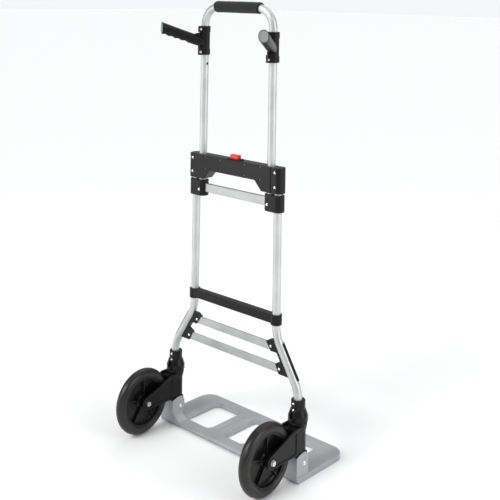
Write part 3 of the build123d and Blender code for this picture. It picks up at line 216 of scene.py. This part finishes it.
def zinc_plate(name, base, tint, roughness=0.22):
    """Bright plated steel with a faint passivation tint and turning marks."""
    look = Look(name)
    film = look.noise(120, 2)
    marks = look.noise(2600, 2, (1, 1, 0.2))
    look.set(
        Base_Color=look.mix(look.remap(film, 0.35, 0.65), base, tint),
        Metallic=1.0,
        Roughness=look.remap(marks, 0.3, 0.7, roughness - 0.06, roughness + 0.12),
        Normal=look.bump(marks, 0.02, 0.4, look.bevel(0.4)),
    )
    return look.mat


def powder_coat(name, base, shade, bare):
    """Powder-coated sheet: orange peel, scuffs where loads slide, bare metal on its edges and
    painted shade in its hollows.
    """
    look = Look(name)
    peel = look.noise(420, 2)
    cloud = look.noise(11, 4)
    tone = look.mix(look.remap(cloud, 0.35, 0.65), shade, base)
    scratch = look.remap(look.noise(230, 3, (0.18, 2.4, 1.0)), 0.66, 0.72)
    scratch = look.math("MULTIPLY", scratch, look.remap(look.noise(18, 2), 0.45, 0.62))
    tone = look.mix(look.math("MULTIPLY", scratch, 0.45), tone, bare)
    chipped = look.math("MULTIPLY", look.edges(0.7), look.remap(look.noise(95, 3), 0.42, 0.6))
    tone = look.mix(look.math("MULTIPLY", chipped, 0.8), tone, bare)
    # painted shade: patchy darkening laid into hollows and corners by ambient occlusion
    patches = look.remap(look.noise(40, 3), 0.4, 0.7, 0.05, 0.4)
    hollow_shade = look.math("MULTIPLY", look.hollows(14), patches)
    look.set(
        Base_Color=look.mix(hollow_shade, tone, (0.15, 0.15, 0.145)),
        Metallic=look.remap(chipped, 0.0, 1.0, 0.25, 0.9),
        Roughness=look.remap(cloud, 0.3, 0.7, 0.34, 0.46),
        Normal=look.bump(peel, 0.10, 0.45, look.bevel(1.0)),
    )
    return look.mat


def solid_rubber(name):
    """Solid tyre rubber: fine pores, dull scuffs and a little floor dust."""
    look = Look(name)
    pores = look.noise(900, 3)
    scuff = look.noise(38, 4)
    tone = look.mix(look.remap(scuff, 0.4, 0.7), (0.009, 0.0085, 0.008), (0.018, 0.0165, 0.015))
    haze = look.remap(look.noise(210, 3), 0.55, 0.75, 0.0, 0.3)
    look.set(
        Base_Color=look.mix(haze, tone, (0.034, 0.031, 0.027)),
        Roughness=look.remap(scuff, 0.3, 0.7, 0.30, 0.44),
        Specular_IOR_Level=0.42,
        Normal=look.bump(pores, 0.06, 0.5, look.bevel(1.2)),
    )
    return look.mat


def closed_cell_foam(name):
    """Black rubber foam: small closed cells under a matt skin."""
    look = Look(name)
    cells = look.cells(1300)
    skin = look.noise(60, 3)
    tone = look.mix(look.remap(skin, 0.35, 0.7), (0.010, 0.010, 0.011), (0.020, 0.020, 0.021))
    pits = look.remap(cells, 0.15, 0.6)
    look.set(
        Base_Color=look.mix(look.math("MULTIPLY", pits, 0.4), tone, (0.004, 0.004, 0.004)),
        Roughness=look.remap(skin, 0.3, 0.7, 0.72, 0.85),
        Specular_IOR_Level=0.3,
        Sheen_Weight=0.15,
        Sheen_Roughness=0.5,
        Normal=look.bump(pits, 0.15, 0.7),
    )
    return look.mat


def glossy_red(name):
    """Glossy red moulding with faint swirls and thumb-rubbed edges."""
    look = Look(name)
    swirl = look.noise(45, 3)
    lighter_edge_share = look.math("MULTIPLY", look.edges(0.8), look.remap(look.noise(150, 2), 0.35, 0.6))
    tone = look.mix(look.remap(swirl, 0.35, 0.65), (0.72, 0.008, 0.014), (0.86, 0.018, 0.026))
    look.set(
        Base_Color=look.mix(look.math("MULTIPLY", lighter_edge_share, 0.5), tone, (0.95, 0.12, 0.10)),
        Roughness=look.remap(look.noise(300, 3), 0.35, 0.65, 0.24, 0.38),
        Subsurface_Weight=0.06,
        Normal=look.bump(look.noise(800, 2), 0.03, 0.4, look.bevel(0.8)),
    )
    return look.mat


TUBE = ((0.66, 0.67, 0.665), (0.56, 0.57, 0.565))
STRIP = ((0.52, 0.535, 0.525), (0.43, 0.445, 0.435))
BLACK = (0.0030, 0.0028, 0.0027)
GREY = ((0.20, 0.215, 0.205), (0.36, 0.38, 0.37))
NYLON = ((0.55, 0.54, 0.49), (0.70, 0.69, 0.65))
TOE_GREY = ((0.40, 0.42, 0.42), (0.34, 0.36, 0.36), (0.62, 0.63, 0.63))

# one look for each material slot of the record
looks = {
    "tube_metal": drawn_aluminium("satin_tube", *TUBE, (1, 1, 0.02), 0.42),
    "strip_metal": drawn_aluminium("satin_strip", *STRIP, (0.02, 1, 1), 0.42),
    # on the black and wheel mouldings the paler edge colour is partly wear and partly painted
    # highlight
    "black_plastic": moulded_plastic("black_moulding", BLACK, (0.13, 0.125, 0.12), 0.27),
    "wheel_plastic": moulded_plastic("wheel_moulding", BLACK, (0.10, 0.10, 0.095), 0.26, 0.04),
    "grey_plastic": moulded_plastic("grey_moulding", *GREY, 0.46),
    "bush_nylon": moulded_plastic("natural_nylon", *NYLON, 0.40),
    "zinc_steel": zinc_plate("bright_zinc", (0.78, 0.81, 0.83), (0.76, 0.75, 0.67)),
    "dark_steel": zinc_plate("black_oxide", (0.09, 0.09, 0.095), (0.13, 0.12, 0.11), 0.38),
    "toe_paint": powder_coat("toe_coat", *TOE_GREY),
    "tyre_rubber": solid_rubber("tyre_black"),
    "foam": closed_cell_foam("foam_black"),
    "red_plastic": glossy_red("button_red"),
}

for part in frame["record"]["subparts"]:
    cad = frame["nodes"][part["node"]]
    cad.data.materials.clear()
    cad.data.materials.append(looks[part["material_slot"]])


# ---------------------------------------------------------------- made pieces
def new_piece(name, rings, look, capped=False):
    """A smooth mesh from rings of points, joined ring to ring."""
    bm = bmesh.new()
    rows = [[bm.verts.new(spot) for spot in ring] for ring in rings]
    for near, far in zip(rows, rows[1:]):
        for i in range(len(near)):
            j = (i + 1) % len(near)
            bm.faces.new((near[i], near[j], far[j], far[i]))
    if capped:
        bm.faces.new(rows[0])
        bm.faces.new(rows[-1])
    bmesh.ops.remove_doubles(bm, verts=bm.verts, dist=0.001 * MM)
    bmesh.ops.recalc_face_normals(bm, faces=bm.faces)
    mesh = bpy.data.meshes.new(name)
    bm.to_mesh(mesh)
    bm.free()
    mesh.shade_smooth()
    mesh.materials.append(look)
    piece = bpy.data.objects.new(name, mesh)
    scene.collection.objects.link(piece)
    return piece


def ring_round(centre, ahead, radius, count, uneven=0.0):
    """Points round a centre, square to the direction ahead, with an uneven surface if asked."""
    side = Vector((0, 1, 0)) if abs(ahead.y) < 0.9 else Vector((1, 0, 0))
    up = side.cross(ahead).normalized()
    side = ahead.cross(up).normalized()
    ring = []
    for i in range(count):
        turn = 2 * math.pi * i / count
        out = up * math.cos(turn) + side * math.sin(turn)
        spot = centre + out * radius
        ring.append(spot + out * uneven * noise.noise(spot * 95))
    return ring


# foam sleeve on the handle: soft ends, a slightly wavy surface, open bore
foam_lo, foam_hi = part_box("foam_grip")
tube_lo, tube_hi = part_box("handle_tube")
TUBE_R = (tube_hi.y - tube_lo.y) / 2
FOAM_R = (foam_hi.y - foam_lo.y) / 2 - 0.3 * MM  # leaves room for the wavy surface
BORE_R = TUBE_R + 0.2 * MM
BEND_R = 56 * MM
FOAM_ARC = math.radians(10)  # how far the foam reaches round each bend
END_ROUND = 3.0 * MM
FOAM_STEPS = 110
END_STEPS = 8
BORE_STEPS = 24
FOAM_POINTS = 72
UNEVEN = 0.2 * MM
FINE_WAVE, FINE_PER_METRE = 0.08 * MM, 160
SLOW_WAVE, SLOW_PER_METRE = 0.10 * MM, 61
foam_z = tube_hi.z - TUBE_R
straight_half = tube_hi.x - TUBE_R - BEND_R
foam_half = straight_half + BEND_R * FOAM_ARC


def foam_ring(along, radius, uneven=0.0):
    """A ring of the foam, the given distance along the handle from its middle."""
    side = 1 if along >= 0 else -1
    turn = max(0.0, abs(along) - straight_half) / BEND_R
    x = along if turn == 0 else side * (straight_half + BEND_R * math.sin(turn))
    centre = Vector((x, 0, foam_z - BEND_R * (1 - math.cos(turn))))
    ahead = Vector((math.cos(turn), 0, -side * math.sin(turn)))
    return ring_round(centre, ahead, radius, FOAM_POINTS, uneven)


def foam_end(side):
    """Rings of one rounded end, from the end face to the full radius."""
    rings = []
    for step in range(END_STEPS + 1):
        turn = math.radians(90) * step / END_STEPS
        along = foam_half - END_ROUND * (1 - math.cos(turn))
        rings.append(foam_ring(side * along, FOAM_R - END_ROUND * (1 - math.sin(turn)), UNEVEN))
    return rings


foam_rings = foam_end(-1)
for step in range(1, FOAM_STEPS):
    along = (foam_half - END_ROUND) * (2 * step / FOAM_STEPS - 1)
    wave = FINE_WAVE * math.sin(along * FINE_PER_METRE)
    wave += SLOW_WAVE * math.sin(along * SLOW_PER_METRE + 1.0)
    foam_rings.append(foam_ring(along, FOAM_R + wave, UNEVEN))
foam_rings += foam_end(1)[::-1]
for step in range(BORE_STEPS + 1):
    along = foam_half * (1 - 2 * step / BORE_STEPS)
    foam_rings.append(foam_ring(along, BORE_R))
foam = new_piece("handle_foam", foam_rings + foam_rings[:1], looks["foam"])
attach(foam, "handle")
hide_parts("foam_grip")

# the button's return spring: an open coil with closed end turns
spring_lo, spring_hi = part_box("button_spring")
WIRE_R = 0.45 * MM
COIL_R = (spring_hi.x - spring_lo.x) / 2 - WIRE_R
COIL_TURNS = 6
COIL_STEPS = 40  # per turn
WIRE_POINTS = 10
END_PITCH = 0.75  # the end turns lie this much closer than the middle ones
spring_axis = (spring_lo + spring_hi) / 2
coil_bottom = spring_lo.z + WIRE_R
coil_rise = spring_hi.z - spring_lo.z - 2 * WIRE_R


def coil_point(share):
    """The wire's centre, a share of the way up the coil."""
    turn = 2 * math.pi * COIL_TURNS * share
    climb = share * share * (3 - 2 * share) * (1 - END_PITCH) + share * END_PITCH
    return Vector(
        (
            spring_axis.x + COIL_R * math.cos(turn),
            spring_axis.y + COIL_R * math.sin(turn),
            coil_bottom + coil_rise * climb,
        )
    )


coil = []
for step in range(COIL_TURNS * COIL_STEPS + 1):
    share = step / (COIL_TURNS * COIL_STEPS)
    ahead = (coil_point(share + 0.001) - coil_point(share - 0.001)).normalized()
    outward = coil_point(share) - Vector((spring_axis.x, spring_axis.y, coil_point(share).z))
    outward.normalize()
    across = ahead.cross(outward)
    wire = []
    for i in range(WIRE_POINTS):
        turn = 2 * math.pi * i / WIRE_POINTS
        round_wire = outward * math.cos(turn) + across * math.sin(turn)
        wire.append(coil_point(share) + round_wire * WIRE_R)
    coil.append(wire)
spring = new_piece("return_spring", coil, looks["dark_steel"], capped=True)
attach(spring, "frame")
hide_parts("button_spring")
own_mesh(spring)


# ---------------------------------------------------------------- studio
SKY_LIGHT = 0.40
SKY_SEEN = 0.945
FLOOR_SIZE = 80
FLOOR_DROP = 0.6 * MM  # keeps the floor clear of the tyres and the toe plate
BOX_WIDTH, BOX_HEIGHT = 1.0, 2.6
BOX_DISTANCE = 3
TRUCK_MIDDLE = Vector((0, 0, 0.6))

floor_look = Look("studio_floor")
cloud = floor_look.remap(floor_look.noise(1.3, 3), 0.3, 0.7, 0.90, 0.93)
floor_look.set(
    Base_Color=floor_look.mix(cloud, (0.8, 0.8, 0.8), (0.96, 0.96, 0.96)),
    Roughness=0.75,
    Specular_IOR_Level=0.1,
)
bpy.ops.mesh.primitive_plane_add(size=FLOOR_SIZE, location=(0, 0, -FLOOR_DROP))
floor = bpy.context.object
floor.name = "studio_floor"
floor.data.materials.append(floor_look.mat)

scene.world = bpy.data.worlds.new("studio")
scene.world.use_nodes = True
sky = scene.world.node_tree
backdrop = sky.nodes["Background"]
backdrop.inputs[0].default_value = (0.97, 0.98, 1.0, 1.0)
# the camera sees a backdrop as bright as the floor; the truck is lit by a dimmer one
seen = sky.nodes.new("ShaderNodeMapRange")
seen.inputs["To Min"].default_value = SKY_LIGHT
seen.inputs["To Max"].default_value = SKY_SEEN
sky.links.new(sky.nodes.new("ShaderNodeLightPath").outputs["Is Camera Ray"], seen.inputs["Value"])
sky.links.new(seen.outputs[0], backdrop.inputs[1])
scene.view_settings.view_transform = "Standard"


def hang(name, lamp, azimuth, elevation, distance=0.0):
    """Puts a lamp in the given direction from the truck; azimuth 0 is behind the operator."""
    a, e = math.radians(azimuth), math.radians(elevation)
    away = Vector((math.sin(a) * math.cos(e), -math.cos(a) * math.cos(e), math.sin(e)))
    made = bpy.data.objects.new(name, lamp)
    made.location = TRUCK_MIDDLE + away * distance
    made.rotation_mode = "QUATERNION"
    made.rotation_quaternion = away.to_track_quat("Z", "Y")
    scene.collection.objects.link(made)


def sun(name, azimuth, elevation, spread, strength):
    """A soft distant light; its place doesn't matter, only its direction."""
    lamp = bpy.data.lights.new(name, "SUN")
    lamp.angle = math.radians(spread)
    lamp.energy = strength
    hang(name, lamp, azimuth, elevation)


def softbox(name, azimuth, elevation, power):
    """A tall panel light that faces the truck's middle."""
    lamp = bpy.data.lights.new(name, "AREA")
    lamp.shape = "RECTANGLE"
    lamp.size = BOX_WIDTH
    lamp.size_y = BOX_HEIGHT
    lamp.energy = power
    hang(name, lamp, azimuth, elevation, BOX_DISTANCE)


sun("key", -8, 42, 24, 1.7)
sun("side", 95, 30, 40, 0.6)
sun("back", 190, 60, 60, 0.75)
softbox("left_box", -38, 12, 16)
softbox("right_box", 105, 12, 16)


# ---------------------------------------------------------------- camera
AZIMUTH, PITCH, ROLL = (math.radians(x) for x in (42.61, -1.24, -0.86))
CAMERA_AT = (1.75174, -1.85975, 1.25335)
FOCAL_LENGTH = 66.27
SENSOR_WIDTH = 36
VIEW_SHIFT = -0.562

facing = (-math.sin(AZIMUTH), math.cos(AZIMUTH), 0)
ahead = Vector(facing) * math.cos(PITCH) - Vector((0, 0, math.sin(PITCH)))
level = Vector((math.cos(AZIMUTH), math.sin(AZIMUTH), 0))
plumb = ahead.cross(level)
right = level * math.cos(ROLL) + plumb * math.sin(ROLL)
down = -level * math.sin(ROLL) + plumb * math.cos(ROLL)
camera = bpy.data.objects.new("camera", bpy.data.cameras.new("camera"))
axes = Matrix((right, -down, -ahead)).transposed()
camera.matrix_world = Matrix.Translation(CAMERA_AT) @ axes.to_4x4()
camera.data.sensor_width = SENSOR_WIDTH
camera.data.lens = FOCAL_LENGTH
scene.collection.objects.link(camera)
scene.camera = camera
# this view is the lower part of a wider frame, so it is shifted; other views aren't
shift = camera.data.driver_add("shift_y").driver
place = shift.variables.new()
place.name = "x"
place.type = "TRANSFORMS"
place.targets[0].id = camera
place.targets[0].transform_type = "LOC_X"
place.targets[0].transform_space = "WORLD_SPACE"
shift.expression = f"{VIEW_SHIFT} if abs(x - {CAMERA_AT[0]}) < 0.001 else 0.0"
